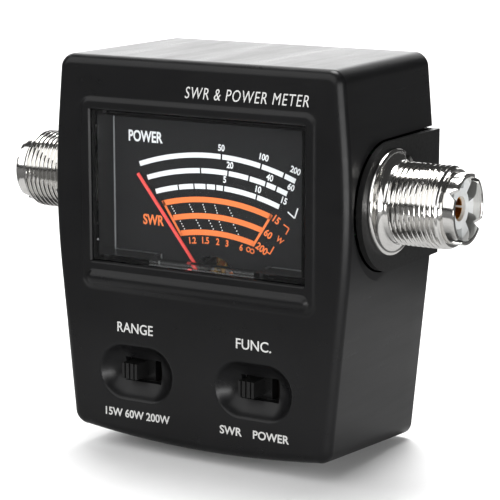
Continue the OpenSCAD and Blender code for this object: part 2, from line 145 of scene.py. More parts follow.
def two_tone(tree, value, first, second):
    """Colour that runs from first to second as the value runs from 0 to 1."""
    node = add(tree, "ShaderNodeMix", data_type="RGBA")
    ends = {"A": first, "B": second}
    for socket in node.inputs:
        if socket.type == "RGBA" and socket.name in ends:
            socket.default_value = (*ends[socket.name], 1)
    tree.links.new(value, node.inputs["Factor"])
    return next(s for s in node.outputs if s.type == "RGBA")


def join(tree, first, second, operation):
    """Sum, product or the like of two values."""
    node = add(tree, "ShaderNodeMath", operation=operation)
    tree.links.new(first, node.inputs[0])
    tree.links.new(second, node.inputs[1])
    return node.outputs[0]


def above(tree, value, limit):
    """1 where the value is above the limit, 0 elsewhere."""
    node = add(tree, "ShaderNodeMath", operation="GREATER_THAN")
    tree.links.new(value, node.inputs[0])
    node.inputs[1].default_value = limit
    return node.outputs[0]


def mix_shaders(tree, factor, first, second):
    """Shader that goes from first to second with the factor."""
    node = add(tree, "ShaderNodeMixShader")
    for value, socket in zip((factor, first, second), node.inputs):
        tree.links.new(value, socket)
    return node.outputs[0]


def surface(name, color, rough=0.4, metal=0.0, vary=0.12, rough_vary=0.08, patch=90, grain=2500,
            bump=0.1, depth=0.02, stretch=(1, 1, 1), coat=0.0, ior=1.5, subsurface=0.0, shine=0.5):
    """Shader with slow colour and roughness drift (patch) and a fine relief (grain), sizes per metre."""
    mat, tree, shader = new_material(name)
    shader.inputs["Metallic"].default_value = metal
    shader.inputs["IOR"].default_value = ior
    shader.inputs["Specular IOR Level"].default_value = shine
    shader.inputs["Coat Weight"].default_value = coat
    shader.inputs["Coat Roughness"].default_value = 0.08
    if subsurface:
        shader.inputs["Subsurface Weight"].default_value = subsurface
        shader.inputs["Subsurface Radius"].default_value = (0.002, 0.002, 0.002)
    drift = noise(tree, patch, stretch)
    dark = [c * (1 - vary) for c in color]
    light = [min(c * (1 + vary), 1) for c in color]
    shade = two_tone(tree, spread(tree, drift, 0, 1), dark, light)
    tree.links.new(shade, shader.inputs["Base Color"])
    fine = noise(tree, grain, stretch)
    ragged = spread(tree, fine, rough - rough_vary, rough + rough_vary)
    tree.links.new(ragged, shader.inputs["Roughness"])
    relief = add(tree, "ShaderNodeBump", Strength=bump, Distance=depth * MM)
    tree.links.new(fine, relief.inputs["Height"])
    tree.links.new(relief.outputs["Normal"], shader.inputs["Normal"])
    return mat


def scuffed_plastic(name, color, rough):
    """Moulded black plastic: a fine grain, slow sheen changes and faint rubbed streaks."""
    mat, tree, shader = new_material(name)
    shader.inputs["IOR"].default_value = 1.5
    shader.inputs["Specular IOR Level"].default_value = 0.19
    streaks = noise(tree, 160, (1, 0.12, 1.6), detail=6, rough=0.7)
    drift = noise(tree, 45, detail=2)
    grain = noise(tree, 5200, detail=2)
    shade = two_tone(tree, spread(tree, drift, 0, 1), [c * 0.8 for c in color], [c * 1.2 for c in color])
    tree.links.new(shade, shader.inputs["Base Color"])
    sheen = join(tree, spread(tree, streaks, rough - 0.05, rough + 0.05),
                 spread(tree, grain, -0.02, 0.02), "ADD")
    tree.links.new(sheen, shader.inputs["Roughness"])
    relief = add(tree, "ShaderNodeBump", Strength=0.12, Distance=0.012 * MM)
    tree.links.new(grain, relief.inputs["Height"])
    soft = add(tree, "ShaderNodeBump", Strength=0.05, Distance=0.02 * MM)
    tree.links.new(streaks, soft.inputs["Height"])
    tree.links.new(relief.outputs["Normal"], soft.inputs["Normal"])
    tree.links.new(soft.outputs["Normal"], shader.inputs["Normal"])
    return mat


# Width of the painted highlight along the joint between the meter cover's walls and its dial.
EDGE_HIGHLIGHT_W = 0.28


def clear_plastic(name):
    """Polished clear moulding: bends and mirrors what is seen through it, and lets lamp light pass. Its
    side walls carry painted shade in near black, with a painted highlight strip along the dial.
    """
    mat, tree, shader = new_material(name)
    shader.inputs["Base Color"].default_value = (0.93, 0.95, 0.96, 1)
    shader.inputs["Transmission Weight"].default_value = 1.0
    shader.inputs["IOR"].default_value = 1.49
    tree.links.new(spread(tree, noise(tree, 60), 0.0, 0.025), shader.inputs["Roughness"])
    through = add(tree, "ShaderNodeBsdfTransparent", Color=(0.94, 0.95, 0.96, 1))
    path = add(tree, "ShaderNodeLightPath")
    lamp_ray = join(tree, path.outputs["Is Shadow Ray"], path.outputs["Is Diffuse Ray"], "MAXIMUM")
    body = mix_shaders(tree, lamp_ray, shader.outputs[0], through.outputs[0])
    # Painted shade: near black on the cover's side walls, in place of the dark case inside that they would
    # reflect.
    dark = add(tree, "ShaderNodeBsdfPrincipled", Roughness=0.25)
    place = add(tree, "ShaderNodeSeparateXYZ")
    tree.links.new(add(tree, "ShaderNodeTexCoord").outputs["Object"], place.inputs[0])
    # Painted highlight: the wall band next to the dial is light grey instead of near black.
    highlight_strip = above(tree, place.outputs[1], (DIAL_FRONT - EDGE_HIGHLIGHT_W) * MM)
    tree.links.new(two_tone(tree, highlight_strip, (0.006, 0.006, 0.006), (0.34, 0.34, 0.34)),
                   dark.inputs["Base Color"])
    # The side walls take the painted shade and the painted highlight strip instead of the clear plastic.
    with_painted_shade = mix_shaders(tree, painted_shade_walls(tree), body, dark.outputs[0])
    tree.links.new(with_painted_shade, tree.nodes["Material Output"].inputs["Surface"])
    return mat


PIVOT_CLEAR_Z, PIVOT_CLEAR_X = 7, 13.2


def painted_shade_walls(tree):
    """1 on the side walls of the meter cover, where dark shade is painted, 0 on its face and round the
    pivot.
    """
    geometry = add(tree, "ShaderNodeNewGeometry")
    facing = add(tree, "ShaderNodeSeparateXYZ")
    tree.links.new(geometry.outputs["True Normal"], facing.inputs[0])
    place = add(tree, "ShaderNodeSeparateXYZ")
    tree.links.new(add(tree, "ShaderNodeTexCoord").outputs["Object"], place.inputs[0])
    sideways = [above(tree, join(tree, facing.outputs[axis], facing.outputs[axis], "MULTIPLY"), 0.85)
                for axis in (0, 2)]
    wide = join(tree, place.outputs[0], place.outputs[0], "MULTIPLY")
    clear_of_pivot = join(tree, above(tree, place.outputs[2], (AXIS_Z + PIVOT_CLEAR_Z) * MM),
                          above(tree, wide, (PIVOT_CLEAR_X * MM) ** 2), "MAXIMUM")
    return join(tree, sideways[0], join(tree, sideways[1], clear_of_pivot, "MULTIPLY"), "MAXIMUM")


# Stretch of the noise that leaves fine turning marks round the X axis.
RINGS = (30, 1, 1)

LOOKS = {
    "case_plastic": scuffed_plastic("case_plastic", (0.005, 0.005, 0.0053), 0.31),
    "chassis_steel": surface("chassis_steel", (0.007, 0.007, 0.007), 0.36, grain=1800, bump=0.2,
                             shine=0.3),
    "nickel": surface("nickel", (0.68, 0.67, 0.65), 0.12, 1.0, vary=0.05, rough_vary=0.04,
                      patch=200, grain=500, bump=0.05, depth=0.01, stretch=RINGS),
    "insulator_grey": surface("insulator_grey", (0.42, 0.43, 0.43), 0.42, vary=0.04, subsurface=0.1),
    "contact_gold": surface("contact_gold", (0.95, 0.56, 0.2), 0.2, 1.0, vary=0.08, stretch=RINGS,
                            grain=400, bump=0.05),
    "clear_cover": clear_plastic("clear_cover"),
    "dial_print": surface("dial_print", (0.008, 0.008, 0.0085), 0.7, vary=0.06, grain=6000,
                          bump=0.06, shine=0.1),
    "dial_white": surface("dial_white", (0.86, 0.86, 0.85), 0.7, vary=0.02, grain=7000, bump=0.05,
                          shine=0.2),
    "dial_orange": surface("dial_orange", (0.92, 0.22, 0.06), 0.7, vary=0.03, grain=7000, bump=0.05,
                           shine=0.1),
    "legend_white": surface("legend_white", (0.43, 0.43, 0.42), 0.55, vary=0.06, grain=7000,
                            bump=0.08),
    "pointer_red": surface("pointer_red", (0.86, 0.07, 0.06), 0.5, vary=0.04),
    "inner_steel": surface("inner_steel", (0.56, 0.56, 0.55), 0.3, 1.0, grain=900, stretch=(1, 6, 1)),
    "magnet_alloy": surface("magnet_alloy", (0.3, 0.31, 0.32), 0.42, 1.0, grain=1500),
    "brass_parts": surface("brass_parts", (0.78, 0.55, 0.2), 0.28, 1.0, vary=0.15, grain=900),
    "jewel": surface("jewel", (0.5, 0.02, 0.05), 0.12, vary=0.2, coat=0.6, ior=1.7),
    "copper_wire": surface("copper_wire", (0.72, 0.26, 0.12), 0.3, 1.0, patch=400, grain=4000, bump=0.4,
                           stretch=(1, 1, 8)),
    "tinplate": surface("tinplate", (0.66, 0.66, 0.63), 0.33, 1.0, vary=0.12, patch=120, grain=700),
    "circuit_board": surface("circuit_board", (0.03, 0.16, 0.06), 0.4, vary=0.2, coat=0.3, grain=1600),
    "component_body": surface("component_body", (0.55, 0.3, 0.14), 0.4, vary=0.2, coat=0.3),
    "trimmer_blue": surface("trimmer_blue", (0.03, 0.12, 0.42), 0.45, grain=3000),
    "rotor_white": surface("rotor_white", (0.75, 0.73, 0.66), 0.5, grain=3000),
    "phenolic": surface("phenolic", (0.008, 0.006, 0.005), 0.5, vary=0.25, grain=1800,
                        stretch=(1, 1, 4), shine=0.15),
    "wire_cover": surface("wire_cover", (0.35, 0.03, 0.03), 0.5, grain=3500),
    "foot_rubber": surface("foot_rubber", (0.016, 0.016, 0.016), 0.75, vary=0.2, grain=3200, bump=0.4,
                           depth=0.05),
    "knob_black": surface("knob_black", (0.006, 0.006, 0.006), 0.34, vary=0.2, grain=4200, bump=0.15,
                          shine=0.25),
}


def dress_nodes():
    """Every CAD node takes the look of its material slot."""
    for part in frame["record"]["subparts"]:
        obj = frame["nodes"][part["node"]]
        obj.data.materials.clear()
        obj.data.materials.append(LOOKS[part["material_slot"]])


dress_nodes()


# ---- Mesh helpers ----

def finish_mesh(name, bm, slot, angle, look=None, weighted=True):
    """Turns a bmesh drawn in millimetres into a piece of the case; edges above the angle stay sharp."""
    bmesh.ops.scale(bm, vec=(MM, MM, MM), verts=bm.verts[:])
    mesh = bpy.data.meshes.new(name)
    bm.to_mesh(mesh)
    bm.free()
    for polygon in mesh.polygons:
        polygon.use_smooth = True
    mesh.set_sharp_from_angle(angle=math.radians(angle))
    mesh.materials.append(LOOKS[look or slot])
    obj = bpy.data.objects.new(name, mesh)
    SCENE.collection.objects.link(obj)
    if weighted:
        normals = obj.modifiers.new("normals", "WEIGHTED_NORMAL")
        normals.keep_sharp = True
    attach(obj, "case")
    return obj


def steps(low, high, step):
    """Evenly spaced values from low to high, no further apart than step."""
    count = max(1, math.ceil((high - low) / step - 1e-9))
    return [low + (high - low) * i / count for i in range(count + 1)]


def grid_lines(marks, step):
    """Grid lines that include every mark."""
    marks = sorted(marks)
    lines = [marks[0]]
    for low, high in zip(marks, marks[1:]):
        lines += steps(low, high, step)[1:]
    return lines


def bridge(bm, first, second):
    """Quads between two closed loops of the same length."""
    n = len(first)
    for i in range(n):
        bm.faces.new((first[i], first[(i + 1) % n], second[(i + 1) % n], second[i]))


def loop_at(bm, points):
    """New vertices at the points."""
    return [bm.verts.new(p) for p in points]


def drop_loop(bm, loop, y):
    """Straight wall from a loop to the plane at y; gives the new loop."""
    low = loop_at(bm, [(v.co.x, y, v.co.z) for v in loop])
    bridge(bm, loop, low)
    return low


def fill_between(bm, loops):
    """Flat face between closed loops in one plane."""
    edges = []
    for loop in loops:
        for a, b in zip(loop, loop[1:] + loop[:1]):
            edges.append(bm.edges.get((a, b)) or bm.edges.new((a, b)))
    bmesh.ops.triangle_fill(bm, use_beauty=True, edges=edges)


def smooth_max(a, b, k):
    """The larger of two values, blended over a width k."""
    h = max(k - abs(a - b), 0) / k
    return max(a, b) + h * h * k / 4


def ease(t):
    """0 to 1 with a soft start and a soft end."""
    t = min(max(t, 0), 1)
    return t * t * (3 - 2 * t)


def mix(a, b, t):
    return a + (b - a) * t


# ---- Case moulding ----

# Outline: bowed sides that are widest at the waist, and an arched underside.
WALL = 2.2
EDGE_R = 2.0
CORNER_R = 3.0
WAIST_Z = AXIS_Z - 1
WAIST_HALF_W = 33.35
WAIST_R = 157
UPPER_ARC, LOWER_ARC = 14.1, 15.3
SIDE_DRAFT = 0.9
FRONT_LOW, ARCH_R = 2.7, 208
REAR_LOW, REAR_ARCH_R = 0.4, 1600
LOW_STEPS, CORNER_STEPS, SIDE_STEPS, TOP_STEPS = 26, 10, 42, 24

# Window, the raised frame round it and the bar below it.
WINDOW_HALF_W = 24.15
WINDOW_LOW, WINDOW_HIGH = 38.9, 69.15
FRAME_OUT, FRAME_FLAT, FRAME_FALL, FRAME_ROUND = 0.4, 1.5, 1.1, 0.45
BAR_Z, BAR_R, BAR_OUT, BAR_HALF_W = 35.5, 1.9, 1.2, 25.5

# Finger scoops, their slots and the thick pads behind them.
SCOOP_Z = 16.8
SCOOP_XS = (-14.0, 13.0)
SCOOP_R, SCOOP_DEPTH, SCOOP_HALF_LEN = 6.41, 3.2, 2.95
SLOT_HALF_W, SLOT_HALF_H = 4.2, 2.4
PAD_HALF_W, PAD_HALF_H, PAD_DEPTH = 9.6, 6.6, 4.4


def half_width(z):
    """Half the width of the case at its front, at height z."""
    t = z - WAIST_Z
    u = min(max(t, -LOWER_ARC), UPPER_ARC)
    return WAIST_HALF_W - u * u / (2 * WAIST_R) - (t - u) * u / WAIST_R


def floor_z(x, f):
    """Height of the underside; f runs from 0 at the front to 1 at the back."""
    return mix(FRONT_LOW + x * x / (2 * ARCH_R), REAR_LOW + x * x / (2 * REAR_ARCH_R), f)


def arc(cx, cz, r, start, end, count):
    """Points round an arc, without its first one."""
    angles = [math.radians(mix(start, end, i / count)) for i in range(1, count + 1)]
    return [(cx + r * math.cos(a), cz + r * math.sin(a)) for a in angles]


def outline(f, inset):
    """Case outline seen from the front; f runs from 0 at the front to 1 at the back."""
    r = max(CORNER_R - inset, 0.3)
    low_z = floor_z(half_width(FRONT_LOW) - CORNER_R, f) + CORNER_R
    low_x = half_width(low_z) - SIDE_DRAFT * f - CORNER_R
    top_z = CASE_TOP - CORNER_R
    top_x = half_width(top_z) - SIDE_DRAFT * f - CORNER_R
    right = [(x, floor_z(x, f) + inset) for x in (low_x * i / LOW_STEPS for i in range(LOW_STEPS + 1))]
    right += arc(low_x, low_z, r, -90, 0, CORNER_STEPS)
    right += [(half_width(z) - SIDE_DRAFT * f - inset, z)
              for z in (mix(low_z, top_z, i / SIDE_STEPS) for i in range(1, SIDE_STEPS + 1))]
    right += arc(top_x, top_z, r, 0, 90, CORNER_STEPS)
    right += [(top_x * (1 - i / TOP_STEPS), CASE_TOP - inset) for i in range(1, TOP_STEPS + 1)]
    return right + [(-x, z) for x, z in reversed(right[1:-1])]


def case_ring(bm, depth, inset):
    """Loop round the case at a depth behind its front."""
    return loop_at(bm, [(x, FRONT + depth, z) for x, z in outline(depth / CASE_DEPTH, inset)])


def height_patch(bm, xs, zs, depth, hole):
    """Relief on the front face over a grid, with a rectangular hole; gives its outer and hole loops."""
    x0, x1, z0, z1 = hole
    inside = lambda x, z: x0 + 1e-6 < x < x1 - 1e-6 and z0 + 1e-6 < z < z1 - 1e-6
    verts = {(i, j): bm.verts.new((x, FRONT + depth(x, z), z))
             for i, x in enumerate(xs) for j, z in enumerate(zs) if not inside(x, z)}
    for i in range(len(xs) - 1):
        for j in range(len(zs) - 1):
            if not inside((xs[i] + xs[i + 1]) / 2, (zs[j] + zs[j + 1]) / 2):
                bm.faces.new((verts[i, j], verts[i + 1, j], verts[i + 1, j + 1], verts[i, j + 1]))

    def rectangle(i0, i1, j0, j1):
        path = [(i, j0) for i in range(i0, i1)] + [(i1, j) for j in range(j0, j1)]
        path += [(i, j1) for i in range(i1, i0, -1)] + [(i0, j) for j in range(j1, j0, -1)]
        return [verts[p] for p in path]

    near = lambda lines, value: min(range(len(lines)), key=lambda i: abs(lines[i] - value))
    outer = rectangle(0, len(xs) - 1, 0, len(zs) - 1)
    return outer, rectangle(near(xs, x0), near(xs, x1), near(zs, z0), near(zs, z1))


def window_depth(x, z):
    """Raised frame round the window and the half-round bar below it; negative stands out."""
    out = math.hypot(max(abs(x) - WINDOW_HALF_W, 0), max(z - WINDOW_HIGH, BAR_Z - z, 0))
    edge = math.hypot(max(abs(x) - WINDOW_HALF_W, 0), max(z - WINDOW_HIGH, WINDOW_LOW - z, 0))
    rounding = FRAME_ROUND * max(0, 1 - edge / FRAME_ROUND) ** 2
    rise = FRAME_OUT * (1 - ease((out - FRAME_FLAT) / FRAME_FALL)) - rounding
    along = max(abs(x) - (BAR_HALF_W - BAR_R), 0)
    across = BAR_R ** 2 - along ** 2 - (z - BAR_Z) ** 2
    bar = math.sqrt(across) - (BAR_R - BAR_OUT) if across > 0 else -1
    return -smooth_max(rise, bar, 0.25) if max(rise, bar) > 0 else -rise


def scoop_depth_at(cx):
    """Depth of the scoop that is centred on cx, as a function of the place on the front."""
    def depth(x, z):
        along = max(abs(x - cx) - SCOOP_HALF_LEN, 0)
        reach = SCOOP_R ** 2 - along ** 2 - (z - SCOOP_Z) ** 2
        bowl = math.sqrt(reach) - (SCOOP_R - SCOOP_DEPTH) if reach > 0 else -9
        return smooth_max(bowl, 0, 0.6)
    return depth


def rectangle_loop(bm, x0, x1, z0, z1, y):
    return loop_at(bm, [(x0, y, z0), (x1, y, z0), (x1, y, z1), (x0, y, z1)])


def tube(bm, x, z, r, hole_r, d0, d1):
    """Hollow post standing along Y from depth d0 to d1."""
    sides = 32

    def circle(radius, depth):
        angles = [2 * math.pi * i / sides for i in range(sides)]
        return loop_at(bm, [(x + radius * math.cos(a), FRONT + depth, z + radius * math.sin(a))
                            for a in angles])
    loops = [circle(r, d0), circle(r, d1), circle(hole_r, d1), circle(hole_r, d0)]
    for first, second in zip(loops, loops[1:] + loops[:1]):
        bridge(bm, first, second)


def slot_cutter(name, side, r, x0, x1, d_end):
    """Prism along X with a round front end, centred on the ears; d_end is the depth it runs back to."""
    sides = 64
    bm = bmesh.new()
    points = [(AXIS_Y + r * math.cos(a), EAR_Z + r * math.sin(a))
              for a in (math.radians(mix(90, 270, i / sides)) for i in range(sides + 1))]
    if d_end:
        points += [(FRONT + d_end, EAR_Z - r), (FRONT + d_end, EAR_Z + r)]
    near = loop_at(bm, [(side * x0, y, z) for y, z in points])
    far = loop_at(bm, [(side * x1, y, z) for y, z in points])
    bridge(bm, near, far)
    bm.faces.new(near)
    bm.faces.new(far)
    bmesh.ops.recalc_face_normals(bm, faces=bm.faces[:])
    mesh = bpy.data.meshes.new(name)
    bm.to_mesh(mesh)
    bm.free()
    obj = bpy.data.objects.new(name, mesh)
    SCENE.collection.objects.link(obj)
    return obj


def cut(mesh, cutters):
    """The mesh with the cutters taken out of it, exactly."""
    obj = bpy.data.objects.new("blank", mesh)
    SCENE.collection.objects.link(obj)
    for cutter in cutters:
        boolean = obj.modifiers.new("cut", "BOOLEAN")
        boolean.operation = "DIFFERENCE"
        boolean.solver = "EXACT"
        boolean.object = cutter
    graph = bpy.context.evaluated_depsgraph_get()
    result = bpy.data.meshes.new_from_object(obj.evaluated_get(graph))
    for done in (obj, *cutters):
        bpy.data.objects.remove(done)
    return result


def case_shell():
    """Outer and inner skins of the case, joined round the back rim and through the holes."""
    bm = bmesh.new()
    front = [case_ring(bm, EDGE_R * (1 - math.cos(a)), EDGE_R * (1 - math.sin(a)))
             for a in (math.radians(9 * i) for i in range(11))]
    back = [case_ring(bm, d, i) for d, i in ((CASE_DEPTH - 0.5, 0), (CASE_DEPTH - 0.15, 0.15),
                                             (CASE_DEPTH, 0.5), (CASE_DEPTH, WALL - 0.3),
                                             (CASE_DEPTH - 0.3, WALL), (WALL, WALL))]
    middle = [case_ring(bm, d, 0) for d in steps(EDGE_R, CASE_DEPTH - 0.5, 6)[1:-1]]
    rings = front + middle + back
    for first, second in zip(rings, rings[1:]):
        bridge(bm, first, second)

    border = 3.4
    xs = grid_lines([-WINDOW_HALF_W - border, -WINDOW_HALF_W, WINDOW_HALF_W, WINDOW_HALF_W + border], 0.3)
    bar_low, bar_high = (BAR_Z + s * math.sqrt(BAR_R ** 2 - (BAR_R - BAR_OUT) ** 2) for s in (-1, 1))
    zs = grid_lines([bar_low - 1.4, bar_low, bar_high, WINDOW_LOW, WINDOW_HIGH, WINDOW_HIGH + border], 0.25)
    window = (-WINDOW_HALF_W, WINDOW_HALF_W, WINDOW_LOW, WINDOW_HIGH)
    outer, hole = height_patch(bm, xs, zs, window_depth, window)
    outers = [outer]
    inners = [drop_loop(bm, hole, FRONT + WALL)]
    for cx in SCOOP_XS:
        slot = (cx - SLOT_HALF_W, cx + SLOT_HALF_W, SCOOP_Z - SLOT_HALF_H, SCOOP_Z + SLOT_HALF_H)
        xs = grid_lines([cx - PAD_HALF_W, slot[0], slot[1], cx + PAD_HALF_W], 0.22)
        zs = grid_lines([SCOOP_Z - PAD_HALF_H, slot[2], slot[3], SCOOP_Z + PAD_HALF_H], 0.22)
        outer, hole = height_patch(bm, xs, zs, scoop_depth_at(cx), slot)
        outers.append(outer)
        floor = drop_loop(bm, hole, FRONT + PAD_DEPTH)
        pad = (cx - PAD_HALF_W, cx + PAD_HALF_W, SCOOP_Z - PAD_HALF_H, SCOOP_Z + PAD_HALF_H)
        deep = rectangle_loop(bm, *pad, FRONT + PAD_DEPTH)
        shallow = rectangle_loop(bm, *pad, FRONT + WALL)
        bridge(bm, deep, shallow)
        fill_between(bm, [deep, floor])
        inners.append(shallow)
    fill_between(bm, [rings[0]] + outers)
    fill_between(bm, [rings[-1]] + inners)
    bmesh.ops.recalc_face_normals(bm, faces=bm.faces[:])
    mesh = bpy.data.meshes.new("case_shell")
    bm.to_mesh(mesh)
    bm.free()
    return mesh


EAR_R, EAR_GAP, RECESS_GAP = 12.5, 0.3, 1.9
EAR_Z = AXIS_Z - 0.9
# Places (x, z) of the posts for the rear screws and of the bosses for the meter and the board.
POSTS = [(24.5, 73.2), (-24.5, 73.2), (23.5, 8.2), (-23.5, 8.2)]
METER_BOSSES = [(16.6, 30.5), (-16.6, 30.5), (0, 72.2)]
BOARD_BOSSES = [(-24.6, 13.6), (24.6, 13.6), (-0.5, 17)]
FEET = [(11, 16, 2.8), (18, 33, 1.8)]


def case_moulding():
    """Case shell with the openings for the ears, its posts and its bosses."""
    cutters = []
    for side in (-1, 1):
        cutters.append(slot_cutter("slot", side, EAR_R + EAR_GAP, WAIST_HALF_W - 5, WAIST_HALF_W + 3,
                                   CASE_DEPTH + 3))
        cutters.append(slot_cutter("recess", side, EAR_R + RECESS_GAP, WAIST_HALF_W - 0.9,
                                   WAIST_HALF_W + 3, 0))
    mesh = cut(case_shell(), cutters)
    bm = bmesh.new()
    bm.from_mesh(mesh)
    for x, z in POSTS:
        tube(bm, x, z, 2.8, 1.1, WALL - 0.1, 35.9)
    for x, z in METER_BOSSES:
        tube(bm, x, z, 2.2, 1.0, WALL - 0.1, 8.9)
    for x, z in BOARD_BOSSES:
        tube(bm, x, z, 2.0, 1.1, WALL - 0.1, 8.5)
    bmesh.ops.recalc_face_normals(bm, faces=bm.faces[:])
    obj = finish_mesh("case_moulding", bm, "case_plastic", angle=30)
    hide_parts("front_housing")


case_moulding()


# ---- Sockets ----

THREAD_R = 7.9375
PITCH = 25.4 / 24
THREAD_DEPTH = 0.62
# Widths of the crest and of each flank, as shares of the pitch.
CREST, FLANK = 0.16, 0.3
TURN_SIDES = 240
# Notches: four in the rim, and one in the edge of the flange.
RIM_BASE = SOCKET_END - 1.9
RIM_NOTCHES, RIM_NOTCH_DEPTH, RIM_NOTCH_HALF_W = (57, 147, 237, 327), 0.74, 1.05
FLANGE_NOTCH, FLANGE_NOTCH_HALF_W, FLANGE_NOTCH_R = 60, 0.9, 8.7


def thread_drop(x, turn, start, end):
    """How far the helical thread lies below its crest at x, fading in and out at the ends."""
    u = ((x - start) / PITCH - turn) % 1.0
    if u < CREST:
        drop = 0
    elif u < CREST + FLANK:
        drop = (u - CREST) / FLANK
    elif u < 1 - FLANK:
        drop = 1
    else:
        drop = (1 - u) / FLANK
    fade = min(ease((x - start) / 0.6), ease((end - x) / 0.5))
    return THREAD_DEPTH * (drop * fade + 0.6 * (1 - fade))


def notch(turn, angles, radius, half_w):
    """1 in the middle of a V notch at one of the angles, 0 outside it."""
    best = 0
    for angle in angles:
        away = abs((turn * 360 - angle + 180) % 360 - 180)
        best = max(best, 1 - math.radians(away) * radius / half_w)
    return best


def socket_profile():
    """Points (x, radius, kind) of the turned shell, from its inner end round to its bore."""
    start, end = EAR_X + 2.5, SOCKET_END - 2.9
    points = [(EAR_X - 5, 4.2, ""), (EAR_X - 5, THREAD_R - 0.4, ""), (EAR_X - 4.6, THREAD_R - 0.01, ""),
              (EAR_X, THREAD_R - 0.01, ""), (EAR_X, 10.05, "flange"), (EAR_X + 0.12, 10.22, "flange"),
              (EAR_X + 0.6, 10.22, "flange"), (EAR_X + 0.78, 10.1, "flange")]
    for i in range(9):
        a = math.radians(90 * i / 8)
        points.append((EAR_X + 0.85 + 1.5 * (1 - math.cos(a)), 9.95 - 2.25 * math.sin(a),
                       "flange" if i < 4 else ""))
    points += [(x, THREAD_R, "thread") for x in steps(start, end, PITCH / 9)]
    points += [(SOCKET_END - 2.75, 7.5, ""), (SOCKET_END - 2.55, 7.4, ""), (SOCKET_END - 2.5, 6.75, ""),
               (SOCKET_END - 2.1, 6.75, ""), (SOCKET_END - 2.05, 6.85, ""),
               (RIM_BASE, 6.85, "rim"), (SOCKET_END - 1, 6.85, "rim"), (SOCKET_END - 0.22, 6.84, "rim"),
               (SOCKET_END - 0.06, 6.76, "rim"), (SOCKET_END, 6.6, "rim"), (SOCKET_END, 6.15, "rim"),
               (SOCKET_END - 0.1, 6.03, "rim"), (SOCKET_END - 1, 6.02, "rim"), (RIM_BASE, 6.02, "rim"),
               (SOCKET_END - 3, 6.02, ""), (EAR_X + 1, 6.02, ""), (EAR_X - 1, 4.2, "")]
    return points, start, end


def socket_shell(name, side):
    """Turned shell of one socket, with its helical thread and its notches."""
    points, start, end = socket_profile()
    bm = bmesh.new()
    loops = []
    for x, r, kind in points:
        row = []
        for i in range(TURN_SIDES):
            turn = i / TURN_SIDES
            px, pr = x, r
            if kind == "thread":
                pr = r - thread_drop(x, turn, start, end)
            if kind == "rim":
                low = notch(turn, RIM_NOTCHES, 6.4, RIM_NOTCH_HALF_W)
                px = RIM_BASE + (x - RIM_BASE) * (1 - RIM_NOTCH_DEPTH * low)
            if kind == "flange" and notch(turn, (FLANGE_NOTCH,), 9.8, FLANGE_NOTCH_HALF_W) > 0:
                pr = min(r, FLANGE_NOTCH_R)
            a = turn * 2 * math.pi
            row.append(bm.verts.new((side * px, AXIS_Y + pr * math.cos(a), AXIS_Z + pr * math.sin(a))))
        loops.append(row)
    for first, second in zip(loops, loops[1:] + loops[:1]):
        bridge(bm, first, second)
    bmesh.ops.recalc_face_normals(bm, faces=bm.faces[:])
    obj = finish_mesh("socket_" + name, bm, "nickel", angle=38)
    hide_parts("connector_shell_" + name)


socket_shell("left", -1)
socket_shell("right", 1)


# ---- Printing ----

PRINT_T = 0.03
# Width of a free letter for its height, against the font's own.
LETTER_WIDTH = 0.86


class Print:
    """Flat ink drawn in X and Z, then raised a little from the surface behind it."""

    def __init__(self):
        self.bm = bmesh.new()

    def poly(self, points):
        self.bm.faces.new([self.bm.verts.new((x, 0, z)) for x, z in points])

    def line(self, a, b, width):
        dx, dz = b[0] - a[0], b[1] - a[1]
        length = math.hypot(dx, dz)
        nx, nz = -dz / length * width / 2, dx / length * width / 2
        self.poly([(a[0] + nx, a[1] + nz), (a[0] - nx, a[1] - nz), (b[0] - nx, b[1] - nz),
                   (b[0] + nx, b[1] + nz)])

    def band(self, centre, r, width, start, end):
        """Arc band between two angles from vertical, in degrees."""
        angles = steps(start, end, 1)
        place = lambda radius, a: (centre[0] + radius * math.sin(math.radians(a)),
                                   centre[1] + radius * math.cos(math.radians(a)))
        low = [self.bm.verts.new((x, 0, z)) for x, z in (place(r - width / 2, a) for a in angles)]
        high = [self.bm.verts.new((x, 0, z)) for x, z in (place(r + width / 2, a) for a in angles)]
        for i in range(len(angles) - 1):
            self.bm.faces.new((low[i], low[i + 1], high[i + 1], high[i]))

    def dot(self, x, z, r):
        self.poly([(x + r * math.cos(a), z + r * math.sin(a))
                   for a in (2 * math.pi * i / 12 for i in range(12))])

    def words(self, text, x, z, height, width=None, turn=0, slant=0, weight=0.0, spacing=1.0):
        """Lettering centred on (x, z); turn is clockwise in degrees."""
        curve = bpy.data.curves.new("words", "FONT")
        curve.body = text
        curve.size = 10
        curve.offset = weight
        curve.space_character = spacing
        curve.resolution_u = 4
        obj = bpy.data.objects.new("words", curve)
        SCENE.collection.objects.link(obj)
        mesh = bpy.data.meshes.new_from_object(obj.evaluated_get(bpy.context.evaluated_depsgraph_get()))
        bpy.data.objects.remove(obj)
        xs = [v.co.x for v in mesh.vertices]
        ys = [v.co.y for v in mesh.vertices]
        tall = height / (max(ys) - min(ys))
        wide = width / (max(xs) - min(xs)) if width else tall * LETTER_WIDTH
        mid_x, mid_y = (max(xs) + min(xs)) / 2, (max(ys) + min(ys)) / 2
        c, s = math.cos(math.radians(-turn)), math.sin(math.radians(-turn))
        verts = []
        for v in mesh.vertices:
            py = (v.co.y - mid_y) * tall
            px = (v.co.x - mid_x) * wide + py * slant
            verts.append(self.bm.verts.new((x + px * c - py * s, 0, z + px * s + py * c)))
        for polygon in mesh.polygons:
            self.bm.faces.new([verts[i] for i in polygon.vertices])
        bpy.data.meshes.remove(mesh)

    def done(self, name, y, slot, look):
        """Closes the ink into thin solids whose backs lie at y."""
        raised = bmesh.ops.extrude_face_region(self.bm, geom=self.bm.faces[:])
        for item in raised["geom"]:
            if isinstance(item, bmesh.types.BMVert):
                item.co.y -= PRINT_T
        bmesh.ops.translate(self.bm, vec=(0, y, 0), verts=self.bm.verts[:])
        bmesh.ops.recalc_face_normals(self.bm, faces=self.bm.faces[:])
        finish_mesh(name, self.bm, slot, angle=30, look=look, weighted=False)


